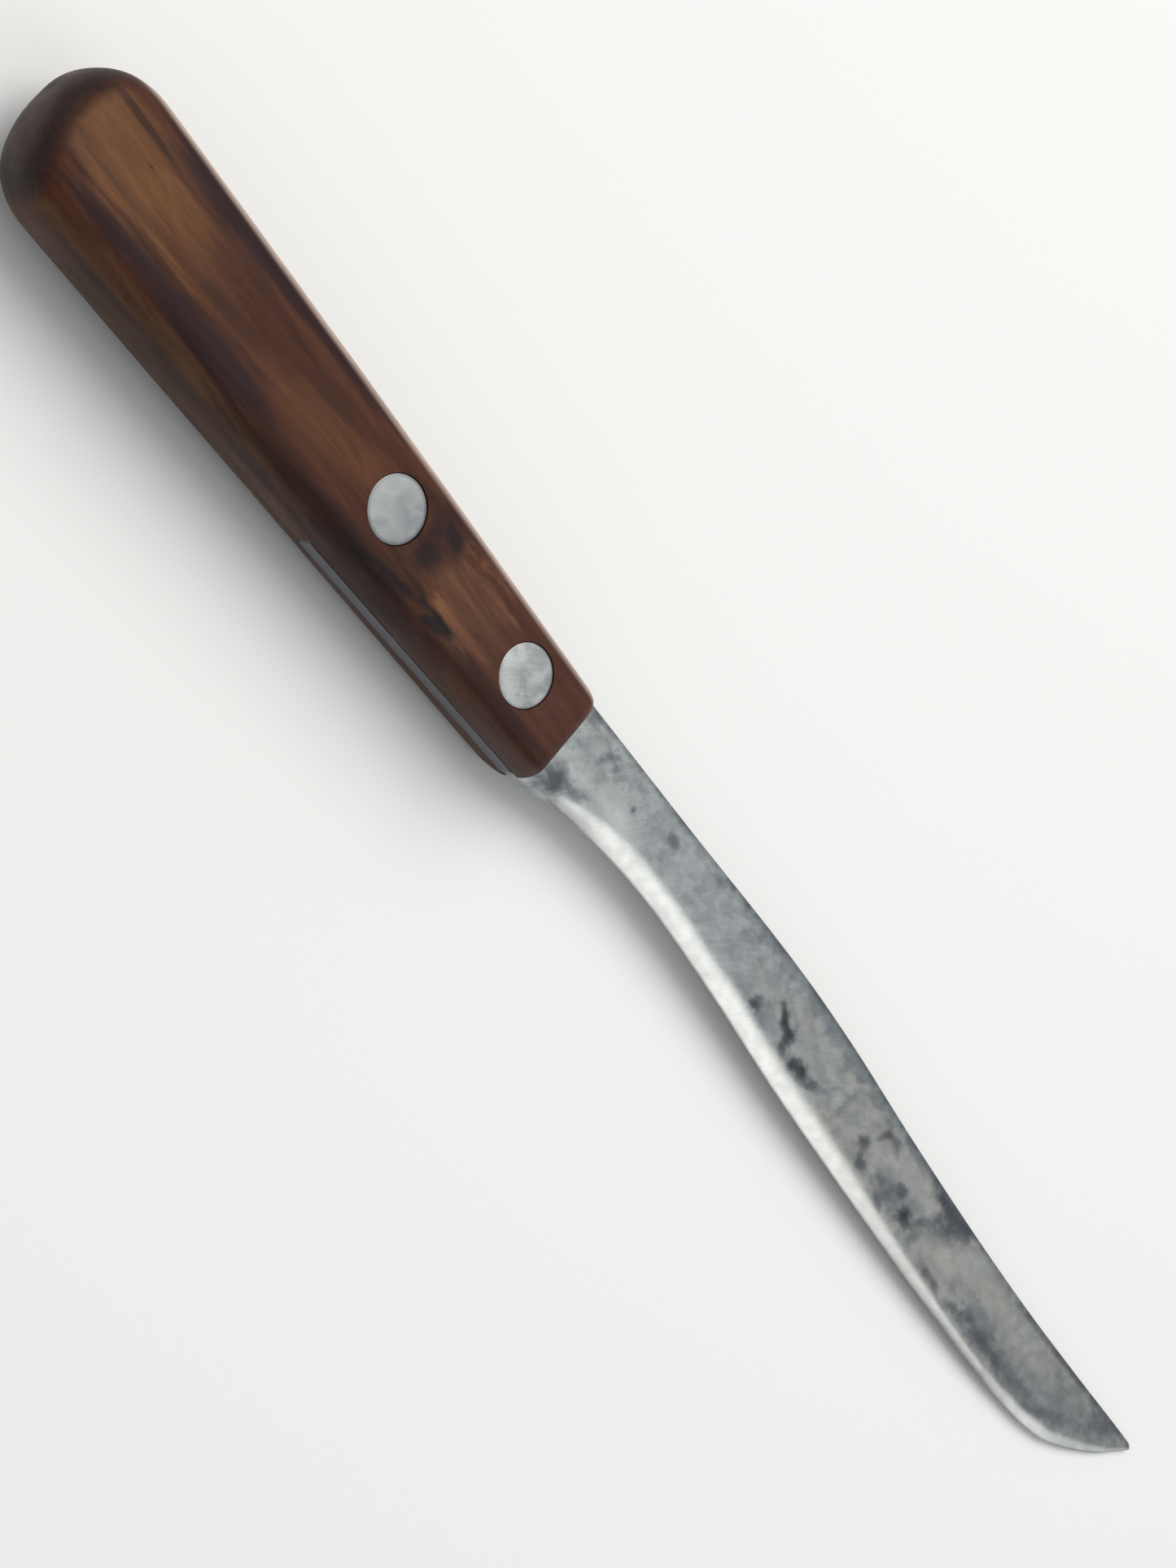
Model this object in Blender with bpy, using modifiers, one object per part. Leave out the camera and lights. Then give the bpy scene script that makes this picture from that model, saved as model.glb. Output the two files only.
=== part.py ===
"""Boning knife: a half-tang blade in a slotted wooden handle, held by two two-piece cutler's rivets.

The knife lies on its side. X runs from the butt to the point, Y towards the spine and Z up.
The modelling frame has its origin at the rear rivet, on the underside of the handle.
A root empty then moves the knife so that the world origin is the bottom centre of its box.
"""

import math

import bmesh
import bpy
from mathutils import Matrix, Vector

MM = 0.001

# Handle
HANDLE_THICKNESS = 12.8 * MM
BUTT_X = -60.25 * MM
FRONT_X = 38.4 * MM
SPINE_SIDE_REAR_Y = 9.55 * MM
SPINE_SIDE_FRONT_Y = 6.92 * MM
BELLY_SIDE_REAR_Y = -10.95 * MM
BELLY_SIDE_FRONT_Y = -6.95 * MM
SPINE_SIDE_BULGE = 0.25 * MM
BELLY_SIDE_BULGE = 0.2 * MM
SPINE_ROUND_REAR = 4.6 * MM
SPINE_ROUND_FRONT = 3.8 * MM
BELLY_ROUND_REAR = 6.0 * MM
BELLY_ROUND_FRONT = 2.2 * MM
SECTION_POWER = 2.5
FLAT_BETWEEN_ROUNDS = 1.0 * MM
BUTT_ROUND = 9.6 * MM
BUTT_POWER = 2.2
BUTT_MIDDLE_Y = 0.9 * MM
BUTT_EDGE_ROUND = 5.0 * MM
FRONT_CORNER = 0.35 * MM
FRONT_EDGE_ROUND = 3.0 * MM

# Blade
BLADE_THICKNESS = 2.4 * MM
TIP_THICKNESS = 0.9 * MM
EDGE_THICKNESS = 0.14 * MM
TIP_X = 190.2 * MM
TANG_END_X = -8.6 * MM
TANG_END_HALF_WIDTH = 3.2 * MM
TANG_SHOULDER_X = -2.7 * MM
GRIND_START_X = 41.5 * MM
GRIND_FULL_X = 50.0 * MM
GRIND_WIDTH = 3.2 * MM
GRIND_WIDTH_AT_TIP = 2.2 * MM
GRIND_MOST_OF_HEIGHT = 0.45
GRIND_SPREAD = 1.6
UNGROUND_CORNER = 0.12
SHOULDER_THINNING = 0.8
TANG_RECESS = 0.35 * MM
SLOT_OVERRUN = 16.0 * MM
SPINE_POINTS = [
    (FRONT_X, 6.95 * MM),
    (62.0 * MM, 7.25 * MM),
    (88.0 * MM, 7.7 * MM),
    (104.0 * MM, 7.16 * MM),
    (122.0 * MM, 5.74 * MM),
    (140.0 * MM, 4.62 * MM),
    (157.0 * MM, 3.94 * MM),
    (172.0 * MM, 3.8 * MM),
    (189.4 * MM, 3.8 * MM),
    (TIP_X, 3.4 * MM),
]
EDGE_POINTS = [
    (FRONT_X, -6.6 * MM),
    (41.5 * MM, -5.95 * MM),
    (45.3 * MM, -5.0 * MM),
    (54.0 * MM, -3.62 * MM),
    (66.0 * MM, -3.02 * MM),
    (82.0 * MM, -3.85 * MM),
    (100.0 * MM, -5.38 * MM),
    (125.0 * MM, -6.72 * MM),
    (147.0 * MM, -7.55 * MM),
    (163.5 * MM, -7.62 * MM),
    (175.0 * MM, -6.25 * MM),
    (184.5 * MM, -1.65 * MM),
    (189.4 * MM, 2.3 * MM),
    (TIP_X, 3.0 * MM),
]

# Rivets
RIVET_SPACING = 27.0 * MM
REAR_HEAD_RADIUS = 4.0 * MM
FRONT_HEAD_RADIUS = 3.85 * MM
HEAD_THICKNESS = 1.3 * MM
HEAD_RECESS = 0.05 * MM
HEAD_DOME = 0.06 * MM
HEAD_RIM_ROUND = 0.35 * MM
TUBE_RADIUS = 2.2 * MM
BORE_RADIUS = 1.55 * MM
PIN_RADIUS = 1.3 * MM
BORE_FLOOR = 1.0 * MM
PIN_END_CLEARANCE = 0.6 * MM
PIN_CHAMFER = 0.3 * MM
RIVETS = [("rear", 0.0, REAR_HEAD_RADIUS), ("front", RIVET_SPACING, FRONT_HEAD_RADIUS)]

GAP = 0.2 * MM
ROUND_SEGMENTS = 40
SECTION_SEGMENTS = 8
HANDLE_STATIONS = 14
END_STATIONS = 7
FIRST_BUTT_STATION = 0.06
TANG_STATIONS = 8
BLADE_STATIONS = 44


def clear_scene():
    for item in list(bpy.data.objects):
        bpy.data.objects.remove(item, do_unlink=True)


def new_collection(name):
    collection = bpy.data.collections.new(name)
    bpy.context.scene.collection.children.link(collection)
    return collection


def material(name, color, roughness, metallic):
    made = bpy.data.materials.new(name)
    made.use_nodes = True
    shader = made.node_tree.nodes["Principled BSDF"]
    shader.inputs["Base Color"].default_value = (*color, 1.0)
    shader.inputs["Roughness"].default_value = roughness
    shader.inputs["Metallic"].default_value = metallic
    made.diffuse_color = (*color, 1.0)
    return made


def mix(a, b, share):
    return a + (b - a) * share


def smooth_curve(points, x):
    """The height at x of a smooth curve through the points, with each slope taken from its neighbours."""
    x = min(max(x, points[0][0]), points[-1][0])
    last = len(points) - 2
    i = 0
    while i < last and x > points[i + 1][0]:
        i += 1

    def slope(k):
        before = points[max(k - 1, 0)]
        after = points[min(k + 1, len(points) - 1)]
        return (after[1] - before[1]) / (after[0] - before[0])

    (x0, y0), (x1, y1) = points[i], points[i + 1]
    width = x1 - x0
    t = (x - x0) / width
    rise = (2 * t**3 - 3 * t**2 + 1) * y0 + (3 * t**2 - 2 * t**3) * y1
    lean = (t**3 - 2 * t**2 + t) * slope(i) + (t**3 - t**2) * slope(i + 1)
    return rise + lean * width


def quarter(share, power):
    """How far a superellipse still stands out at this share of its length."""
    return max(0.0, 1.0 - min(share, 1.0) ** power) ** (1.0 / power)


def loft(name, sections, made, collection):
    """A closed body through sections that all have the same number of points."""
    bm = bmesh.new()
    rings = [[bm.verts.new(point) for point in section] for section in sections]
    count = len(rings[0])
    for ring, following in zip(rings, rings[1:]):
        for i in range(count):
            j = (i + 1) % count
            bm.faces.new((ring[i], ring[j], following[j], following[i]))
    bm.faces.new(rings[0])
    bm.faces.new(rings[-1])
    bmesh.ops.recalc_face_normals(bm, faces=bm.faces)
    mesh = bpy.data.meshes.new(name)
    bm.to_mesh(mesh)
    bm.free()
    mesh.shade_smooth()
    mesh.set_sharp_from_angle(angle=math.radians(30))
    mesh.materials.append(made)
    body = bpy.data.objects.new(name, mesh)
    collection.objects.link(body)
    return body


def plan_prism(name, outline, bottom, top, collection):
    """A flat outline drawn in plan and given a height."""
    bm = bmesh.new()
    face = bm.faces.new([bm.verts.new((x, y, bottom)) for x, y in outline])
    raised = bmesh.ops.extrude_face_region(bm, geom=[face])
    moved = [part for part in raised["geom"] if isinstance(part, bmesh.types.BMVert)]
    bmesh.ops.translate(bm, verts=moved, vec=Vector((0.0, 0.0, top - bottom)))
    bmesh.ops.recalc_face_normals(bm, faces=bm.faces)
    mesh = bpy.data.meshes.new(name)
    bm.to_mesh(mesh)
    bm.free()
    body = bpy.data.objects.new(name, mesh)
    collection.objects.link(body)
    return body


def cylinder(name, x, radius, bottom, top, collection):
    bm = bmesh.new()
    bmesh.ops.create_cone(
        bm,
        cap_ends=True,
        segments=ROUND_SEGMENTS,
        radius1=radius,
        radius2=radius,
        depth=top - bottom,
        matrix=Matrix.Translation((x, 0.0, (top + bottom) / 2)),
    )
    mesh = bpy.data.meshes.new(name)
    bm.to_mesh(mesh)
    bm.free()
    body = bpy.data.objects.new(name, mesh)
    collection.objects.link(body)
    return body


def cut(body, cutter):
    cutter.hide_render = True
    cutter.display_type = "WIRE"
    boolean = body.modifiers.new(cutter.name, "BOOLEAN")
    boolean.operation = "DIFFERENCE"
    boolean.solver = "EXACT"
    boolean.object = cutter


def handle_spine_y(x):
    share = (x - BUTT_X) / (FRONT_X - BUTT_X)
    return mix(SPINE_SIDE_REAR_Y, SPINE_SIDE_FRONT_Y, share) + SPINE_SIDE_BULGE * math.sin(math.pi * share)


def handle_belly_y(x):
    share = (x - BUTT_X) / (FRONT_X - BUTT_X)
    return mix(BELLY_SIDE_REAR_Y, BELLY_SIDE_FRONT_Y, share) - BELLY_SIDE_BULGE * math.sin(math.pi * share)


def handle_section(x):
    """One closed slice across the handle, with flat cheeks and fully rounded sides."""
    butt_share = max(0.0, BUTT_X + BUTT_ROUND - x) / BUTT_ROUND
    butt_edge_share = max(0.0, BUTT_X + BUTT_EDGE_ROUND - x) / BUTT_EDGE_ROUND
    front_edge_share = max(0.0, x - FRONT_X + FRONT_EDGE_ROUND) / FRONT_EDGE_ROUND
    front_corner_share = max(0.0, x - FRONT_X + FRONT_CORNER) / FRONT_CORNER
    middle = BUTT_MIDDLE_Y
    width = quarter(butt_share, BUTT_POWER)
    corner_cut = FRONT_CORNER * (1.0 - quarter(front_corner_share, 2))
    spine = mix(middle, handle_spine_y(x), width) - corner_cut
    belly = mix(middle, handle_belly_y(x), width) + corner_cut
    half = HANDLE_THICKNESS / 2
    height = half * quarter(butt_edge_share, BUTT_POWER)
    height -= FRONT_EDGE_ROUND * (1.0 - quarter(front_edge_share, 2))
    along = (x - BUTT_X) / (FRONT_X - BUTT_X)
    spine_round = mix(SPINE_ROUND_REAR, SPINE_ROUND_FRONT, along)
    belly_round = mix(BELLY_ROUND_REAR, BELLY_ROUND_FRONT, along)
    fit = min(1.0, (spine - belly) / (spine_round + belly_round + FLAT_BETWEEN_ROUNDS))
    corners = (
        (spine, -spine_round * fit, 0),
        (belly, belly_round * fit, 1),
        (belly, belly_round * fit, 2),
        (spine, -spine_round * fit, 3),
    )
    points = []
    for side, depth, turn in corners:
        for step in range(SECTION_SEGMENTS + 1):
            angle = math.pi / 2 * (turn + step / SECTION_SEGMENTS)
            out = abs(math.cos(angle)) ** (2 / SECTION_POWER)
            up = math.copysign(abs(math.sin(angle)) ** (2 / SECTION_POWER), math.sin(angle))
            at_side_end = step == (SECTION_SEGMENTS if turn % 2 else 0)
            if at_side_end and turn in (2, 3):
                continue
            points.append(Vector((x, side + depth * (1.0 - out), half + height * up)))
    return points


def handle_stations():
    """Places along the handle, crowded where its ends are rounded."""
    butt = [
        BUTT_X + BUTT_ROUND * (1.0 - math.cos(math.pi / 2 * mix(FIRST_BUTT_STATION, 1.0, i / END_STATIONS)))
        for i in range(END_STATIONS)
    ]
    start = BUTT_X + BUTT_ROUND
    end = FRONT_X - FRONT_EDGE_ROUND
    straight = [mix(start, end, i / HANDLE_STATIONS) for i in range(HANDLE_STATIONS + 1)]
    front = [
        end + FRONT_EDGE_ROUND * math.sin(math.pi / 2 * i / END_STATIONS)
        for i in range(1, END_STATIONS + 1)
    ]
    return butt + straight + front


def tang_outline(clearance):
    """The slot's outline in plan: the tang with its corners clipped, and open at the front and sides."""
    end = TANG_END_X - clearance
    half = TANG_END_HALF_WIDTH + clearance / 2
    shoulder = TANG_SHOULDER_X - clearance
    side = SLOT_OVERRUN
    belly_slope = (-handle_belly_y(TANG_SHOULDER_X) - TANG_END_HALF_WIDTH) / (TANG_SHOULDER_X - TANG_END_X)
    spine_slope = (handle_spine_y(TANG_SHOULDER_X) - TANG_END_HALF_WIDTH) / (TANG_SHOULDER_X - TANG_END_X)
    beyond_belly = end + (side - half) / belly_slope
    beyond_spine = end + (side - half) / spine_slope
    return [
        (end, -half),
        (max(beyond_belly, shoulder), -side),
        (FRONT_X + side, -side),
        (FRONT_X + side, side),
        (max(beyond_spine, shoulder), side),
        (end, half),
    ]


def make_handle(collection, cutters):
    wood = material("handle_wood", (0.14, 0.055, 0.03), 0.35, 0.0)
    sections = [handle_section(x) for x in handle_stations()]
    handle = loft("handle", sections, wood, collection)
    middle = HANDLE_THICKNESS / 2
    slot_half = BLADE_THICKNESS / 2 + GAP
    slot = plan_prism("cut_slot", tang_outline(GAP), middle - slot_half, middle + slot_half, cutters)
    cut(handle, slot)
    seat = HEAD_THICKNESS + HEAD_RECESS + GAP
    for label, x, head_radius in RIVETS:
        bore = cylinder("cut_bore_" + label, x, TUBE_RADIUS + GAP, -MM, HANDLE_THICKNESS + MM, cutters)
        cut(handle, bore)
        low = cylinder("cut_seat_low_" + label, x, head_radius + GAP, -MM, seat, cutters)
        cut(handle, low)
        top = HANDLE_THICKNESS
        high = cylinder("cut_seat_high_" + label, x, head_radius + GAP, top - seat, top + MM, cutters)
        cut(handle, high)


def blade_section(x, spine, edge, spine_half, shoulder, shoulder_half, edge_half):
    middle = HANDLE_THICKNESS / 2
    return [
        Vector((x, spine, middle + spine_half)),
        Vector((x, shoulder, middle + shoulder_half)),
        Vector((x, edge, middle + edge_half)),
        Vector((x, edge, middle - edge_half)),
        Vector((x, shoulder, middle - shoulder_half)),
        Vector((x, spine, middle - spine_half)),
    ]


def tang_section(x, spine, edge):
    half = BLADE_THICKNESS / 2
    return blade_section(x, spine, edge, half, mix(edge, spine, UNGROUND_CORNER), half, half)


def ground_section(x):
    """A slice of the blade: flat sides that thin towards the point, and a bevel down to the edge."""
    spine = smooth_curve(SPINE_POINTS, x)
    edge = smooth_curve(EDGE_POINTS, x)
    along = (x - FRONT_X) / (TIP_X - FRONT_X)
    ground = min(1.0, max(0.0, (x - GRIND_START_X) / (GRIND_FULL_X - GRIND_START_X)))
    half = mix(BLADE_THICKNESS, TIP_THICKNESS, along) / 2
    width = min(mix(GRIND_WIDTH, GRIND_WIDTH_AT_TIP, along), GRIND_MOST_OF_HEIGHT * (spine - edge))
    shoulder = edge + mix(UNGROUND_CORNER * (spine - edge), width, ground)
    shoulder_half = half * mix(1.0, SHOULDER_THINNING, ground)
    edge_half = mix(half, EDGE_THICKNESS / 2, min(1.0, GRIND_SPREAD * ground))
    return blade_section(x, spine, edge, half, shoulder, shoulder_half, edge_half)


def make_blade(collection, cutters):
    steel = material("blade_steel", (0.36, 0.37, 0.38), 0.35, 1.0)
    sections = [tang_section(TANG_END_X, TANG_END_HALF_WIDTH, -TANG_END_HALF_WIDTH)]
    for i in range(TANG_STATIONS):
        x = mix(TANG_SHOULDER_X, FRONT_X, i / TANG_STATIONS)
        recess = TANG_RECESS * i / TANG_STATIONS
        sections.append(tang_section(x, handle_spine_y(x), handle_belly_y(x) + recess))
    for i in range(BLADE_STATIONS):
        share = i / (BLADE_STATIONS - 1)
        crowded_at_tip = share * (5.0 - 2.0 * share) / 3.0
        sections.append(ground_section(mix(FRONT_X, TIP_X, crowded_at_tip)))
    blade = loft("blade", sections, steel, collection)
    for label, x, _ in RIVETS:
        hole = cylinder("cut_tang_hole_" + label, x, TUBE_RADIUS + GAP, 0.0, HANDLE_THICKNESS, cutters)
        cut(blade, hole)
    return blade


def turned(name, profile, x, made, collection):
    """A profile in the XZ plane, spun about its own vertical axis."""
    mesh = bpy.data.meshes.new(name)
    points = [(radius, 0.0, z) for radius, z in profile]
    mesh.from_pydata(points, [(i, i + 1) for i in range(len(points) - 1)], [])
    body = bpy.data.objects.new(name, mesh)
    collection.objects.link(body)
    body.location.x = x
    screw = body.modifiers.new("turn", "SCREW")
    screw.axis = "Z"
    screw.angle = 2 * math.pi
    screw.steps = ROUND_SEGMENTS
    screw.render_steps = ROUND_SEGMENTS
    screw.use_merge_vertices = True
    screw.merge_threshold = 0.00001
    screw.use_smooth_shade = True
    mesh.materials.append(made)
    return body


def head_rim(head_radius, outer_z, towards):
    """The rim of a head from its domed outer face round to its side; towards is the way into the wood."""
    rim = head_radius - HEAD_RIM_ROUND
    points = [(0.5 * rim, outer_z + towards * 0.3 * HEAD_DOME)]
    for i in range(4):
        angle = math.pi / 2 * i / 3
        sink = HEAD_DOME + HEAD_RIM_ROUND * (1.0 - math.cos(angle))
        points.append((rim + HEAD_RIM_ROUND * math.sin(angle), outer_z + towards * sink))
    return points


def make_rivet(label, x, head_radius, metal, collection):
    top = HANDLE_THICKNESS - HEAD_RECESS
    under_head = top - HEAD_THICKNESS
    pin_end = BORE_FLOOR + PIN_END_CLEARANCE
    male = [(0.0, top)] + head_rim(head_radius, top, -1)
    male += [
        (head_radius, under_head),
        (PIN_RADIUS, under_head),
        (PIN_RADIUS, pin_end + PIN_CHAMFER),
        (PIN_RADIUS - PIN_CHAMFER, pin_end),
        (0.0, pin_end),
    ]
    bottom = HEAD_RECESS
    over_head = bottom + HEAD_THICKNESS
    tube_end = under_head - 2 * GAP
    female = [
        (0.0, BORE_FLOOR),
        (BORE_RADIUS, BORE_FLOOR),
        (BORE_RADIUS, tube_end),
        (TUBE_RADIUS, tube_end),
        (TUBE_RADIUS, over_head),
        (head_radius, over_head),
    ]
    female += list(reversed(head_rim(head_radius, bottom, 1))) + [(0.0, bottom)]
    return [
        turned("rivet_" + label + "_male", male, x, metal, collection),
        turned("rivet_" + label + "_female", female, x, metal, collection),
    ]


def main():
    clear_scene()
    parts = new_collection("boning_knife")
    cutters = new_collection("cutters")
    root = bpy.data.objects.new("knife_root", None)
    parts.objects.link(root)
    outline = [point for x in handle_stations() for point in handle_section(x)]
    widths = [point.y for point in outline]
    root.location.x = -(min(point.x for point in outline) + TIP_X) / 2
    root.location.y = -(min(widths) + max(widths)) / 2
    make_handle(parts, cutters)
    make_blade(parts, cutters)
    metal = material("rivet_nickel", (0.55, 0.55, 0.54), 0.4, 1.0)
    for label, x, head_radius in RIVETS:
        make_rivet(label, x, head_radius, metal, parts)
    for item in list(parts.objects) + list(cutters.objects):
        if item is not root:
            item.parent = root
    bpy.context.view_layer.update()


main()
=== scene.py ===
"""Looks for a worn boning knife: a patinated half-tang blade in an oiled hardwood handle with two rivets.

Lengths inside the modelling functions are millimetres in the knife's own frame: the origin is at the
rear rivet on the underside of the handle, X runs to the point, Y to the spine and Z up.
"""

import math

import bmesh
import bpy
from mathutils import Matrix, Vector, noise


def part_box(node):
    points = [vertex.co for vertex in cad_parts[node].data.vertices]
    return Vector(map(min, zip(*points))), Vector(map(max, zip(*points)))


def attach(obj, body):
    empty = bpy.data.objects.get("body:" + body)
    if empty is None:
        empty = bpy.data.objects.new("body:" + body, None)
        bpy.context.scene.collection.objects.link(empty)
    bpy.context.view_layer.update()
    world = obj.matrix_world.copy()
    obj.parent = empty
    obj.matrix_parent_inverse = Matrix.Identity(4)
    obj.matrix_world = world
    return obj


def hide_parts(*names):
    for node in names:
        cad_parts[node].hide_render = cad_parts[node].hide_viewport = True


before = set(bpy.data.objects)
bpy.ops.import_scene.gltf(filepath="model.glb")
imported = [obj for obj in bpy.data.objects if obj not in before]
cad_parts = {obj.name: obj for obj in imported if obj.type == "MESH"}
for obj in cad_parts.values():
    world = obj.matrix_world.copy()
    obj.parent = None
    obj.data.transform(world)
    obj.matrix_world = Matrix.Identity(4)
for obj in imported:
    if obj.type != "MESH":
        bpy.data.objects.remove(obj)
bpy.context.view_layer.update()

MM = 0.001


def cad_box(node):
    """A CAD node's two box corners in millimetres, in the row frame."""
    low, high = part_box(node)
    return Vector(low) / MM, Vector(high) / MM


REAR_LOW, REAR_HIGH = cad_box("rivet_rear_male")
FRONT_LOW, FRONT_HIGH = cad_box("rivet_front_male")
HANDLE_LOW, HANDLE_HIGH = cad_box("handle")
_, BLADE_HIGH = cad_box("blade")

ORIGIN = Vector(((REAR_LOW.x + REAR_HIGH.x) / 2, (REAR_LOW.y + REAR_HIGH.y) / 2, 0.0))
RIVET_SPACING = (FRONT_LOW.x + FRONT_HIGH.x) / 2 - ORIGIN.x
REAR_HEAD_RADIUS = (REAR_HIGH.x - REAR_LOW.x) / 2
FRONT_HEAD_RADIUS = (FRONT_HIGH.x - FRONT_LOW.x) / 2
THICKNESS = HANDLE_HIGH.z - HANDLE_LOW.z
MIDDLE = THICKNESS / 2
BUTT_X = -60.25
BUTT_FACE_X = HANDLE_LOW.x - ORIGIN.x
FRONT_X = HANDLE_HIGH.x - ORIGIN.x
TIP_X = BLADE_HIGH.x - ORIGIN.x

# Handle shape
SPINE_SIDE_REAR_Y, SPINE_SIDE_FRONT_Y = 9.55, 6.92
BELLY_SIDE_REAR_Y, BELLY_SIDE_FRONT_Y = -10.95, -6.95
SPINE_SIDE_BULGE, BELLY_SIDE_BULGE = 0.25, 0.2
SPINE_ROUND_REAR, SPINE_ROUND_FRONT = 4.6, 3.8
BELLY_ROUND_REAR, BELLY_ROUND_FRONT = 6.0, 2.2
SECTION_POWER = 2.5
FLAT_BETWEEN_ROUNDS = 1.0
BUTT_ROUND, BUTT_POWER, BUTT_EDGE_ROUND, BUTT_MIDDLE_Y = 9.6, 2.2, 5.0, 0.9
FRONT_CORNER, FRONT_EDGE_ROUND = 0.35, 3.0
SPINE_SLOPE = (SPINE_SIDE_FRONT_Y - SPINE_SIDE_REAR_Y) / (FRONT_X - BUTT_X)
STEPS_PER_CORNER = 22

# Wear, which sinks the handle's skin towards a line through its middle
WEAR_AXIS_Y, WEAR_NEAREST = -0.7, 0.5
WEAR_ON_FLATS, WEAR_ON_SIDES, WEAR_RIPPLE = 0.02, 0.10, 0.02

# Slot, bores and seats in the handle
GAP, SLOT_GAP, SEAT_GAP = 0.2, 0.06, 0.05
CUTTER_OVERRUN, SLOT_REACH = 1.0, 16.0

# Blade shape
BLADE_THICKNESS, TIP_THICKNESS = 2.4, 0.9
TANG_END_X, TANG_END_HALF_WIDTH, TANG_SHOULDER_X = -8.6, 3.2, -2.7
TANG_RECESS = 0.05
POINTS_ACROSS, CROWDING_AT_EDGES = 34, 0.11
TIP_RUN, TIP_CROWDING = 8.0, 1.3
SPINE_EASING, SPINE_EASING_DEPTH = 0.22, 0.8
SIDE_TAPER = 0.82
EDGE_WAVER, SURFACE_DIP = 0.05, 0.03

# Ground bevel, which deepens from the heel over the heel's run
GRIND_START_X, GRIND_FULL_X = 41.5, 50.0
HEEL_RUN, BEVEL_ONSET, MARK_ONSET = 4.0, 2.5, 5.0
BEVEL_SPREAD, BEVEL_POWER, BEVEL_SLOPE = 1.25, 1.5, 0.42
LEAST_BEVEL, LEAST_EDGE = 0.05, 0.05
GRIND_WIDTH_POINTS = [
    (GRIND_START_X, 0.3),
    (44.5, 1.2),
    (48.0, 1.9),
    (56.0, 2.5),
    (90.0, 2.5),
    (115.0, 2.4),
    (130.0, 1.65),
    (150.0, 1.1),
    (165.0, 1.25),
    (175.0, 1.6),
    (184.0, 1.1),
    (TIP_X, 0.4),
]

# Where the blade's marks fade, for the bright bevel, the painted shade along the edge and the painted dark
# reflection along the spine: in shares of the bevel, then from the edge and the spine
BEVEL_FADE, EDGE_FADE, RIM_FADE = (0.60, 1.40), (0.05, 0.32), (0.15, 1.1)

# The blade's outline in plan
SPINE_POINTS = [
    (FRONT_X, 6.95),
    (62.0, 7.25),
    (88.0, 7.7),
    (104.0, 7.16),
    (122.0, 5.74),
    (140.0, 4.62),
    (157.0, 3.94),
    (172.0, 3.8),
    (189.4, 3.8),
    (TIP_X, 3.4),
]
EDGE_POINTS = [
    (FRONT_X, -6.6),
    (41.5, -5.95),
    (45.3, -5.0),
    (54.0, -3.62),
    (66.0, -3.02),
    (82.0, -3.85),
    (100.0, -5.38),
    (125.0, -6.72),
    (147.0, -7.55),
    (163.5, -7.62),
    (175.0, -6.25),
    (184.5, -1.65),
    (189.4, 2.3),
    (TIP_X, 3.0),
]

# Rivets
HEAD_THICKNESS, HEAD_RECESS, HEAD_DOME, HEAD_RIM_ROUND = 1.3, 0.05, 0.06, 0.18
TUBE_RADIUS, BORE_RADIUS, PIN_RADIUS, BORE_FLOOR = 2.2, 1.55, 1.3, 1.0
PIN_END_GAP, PIN_CHAMFER = 0.6, 0.3
HEAD_SPREAD = 0.13
RIVETS = [
    ("rear", 0.0, REAR_HEAD_RADIUS + HEAD_SPREAD),
    ("front", RIVET_SPACING, FRONT_HEAD_RADIUS + HEAD_SPREAD),
]
ROUND_SEGMENTS = 96

# Creases sharper than this many degrees stay sharp
CREASE_ANGLE = 35
RIVET_CREASE_ANGLE = 40

# Table
TABLE_REACH, TABLE_STEPS, TABLE_GAP = 3000.0, 24, 0.02


def mix(a, b, share):
    return a + (b - a) * share


def clamp(value, low=0.0, high=1.0):
    return min(max(value, low), high)


def smooth_step(low, high, value):
    t = clamp((value - low) / (high - low))
    return t * t * (3 - 2 * t)


def smooth_curve(points, x):
    """The height at x of a smooth curve through the points, with each slope taken from its neighbours."""
    x = clamp(x, points[0][0], points[-1][0])
    last = len(points) - 2
    i = 0
    while i < last and x > points[i + 1][0]:
        i += 1

    def slope(k):
        before = points[max(k - 1, 0)]
        after = points[min(k + 1, len(points) - 1)]
        return (after[1] - before[1]) / (after[0] - before[0])

    (x0, y0), (x1, y1) = points[i], points[i + 1]
    width = x1 - x0
    t = (x - x0) / width
    rise = (2 * t**3 - 3 * t**2 + 1) * y0 + (3 * t**2 - 2 * t**3) * y1
    lean = (t**3 - 2 * t**2 + t) * slope(i) + (t**3 - t**2) * slope(i + 1)
    return rise + lean * width


def quarter(share, power):
    """How far a superellipse still stands out at this share of its length."""
    return max(0.0, 1.0 - min(share, 1.0) ** power) ** (1.0 / power)


def waves(x, y, z, scale, seed):
    """Smooth noise from -1 to 1 whose bumps are about scale millimetres across."""
    return noise.noise(Vector((x / scale + seed, y / scale - seed, z / scale)))


# ---------------------------------------------------------------- meshes


def shade(mesh, crease_angle):
    mesh.shade_smooth()
    mesh.set_sharp_from_angle(angle=math.radians(crease_angle))


def to_object(name, bm, crease_angle=CREASE_ANGLE):
    """Puts a bmesh, in millimetres in the knife's frame, into the scene in the row frame."""
    bmesh.ops.recalc_face_normals(bm, faces=bm.faces)
    bmesh.ops.translate(bm, verts=bm.verts, vec=ORIGIN)
    bmesh.ops.scale(bm, verts=bm.verts, vec=Vector((MM, MM, MM)))
    mesh = bpy.data.meshes.new(name)
    bm.to_mesh(mesh)
    bm.free()
    shade(mesh, crease_angle)
    made = bpy.data.objects.new(name, mesh)
    bpy.context.scene.collection.objects.link(made)
    return made


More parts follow.
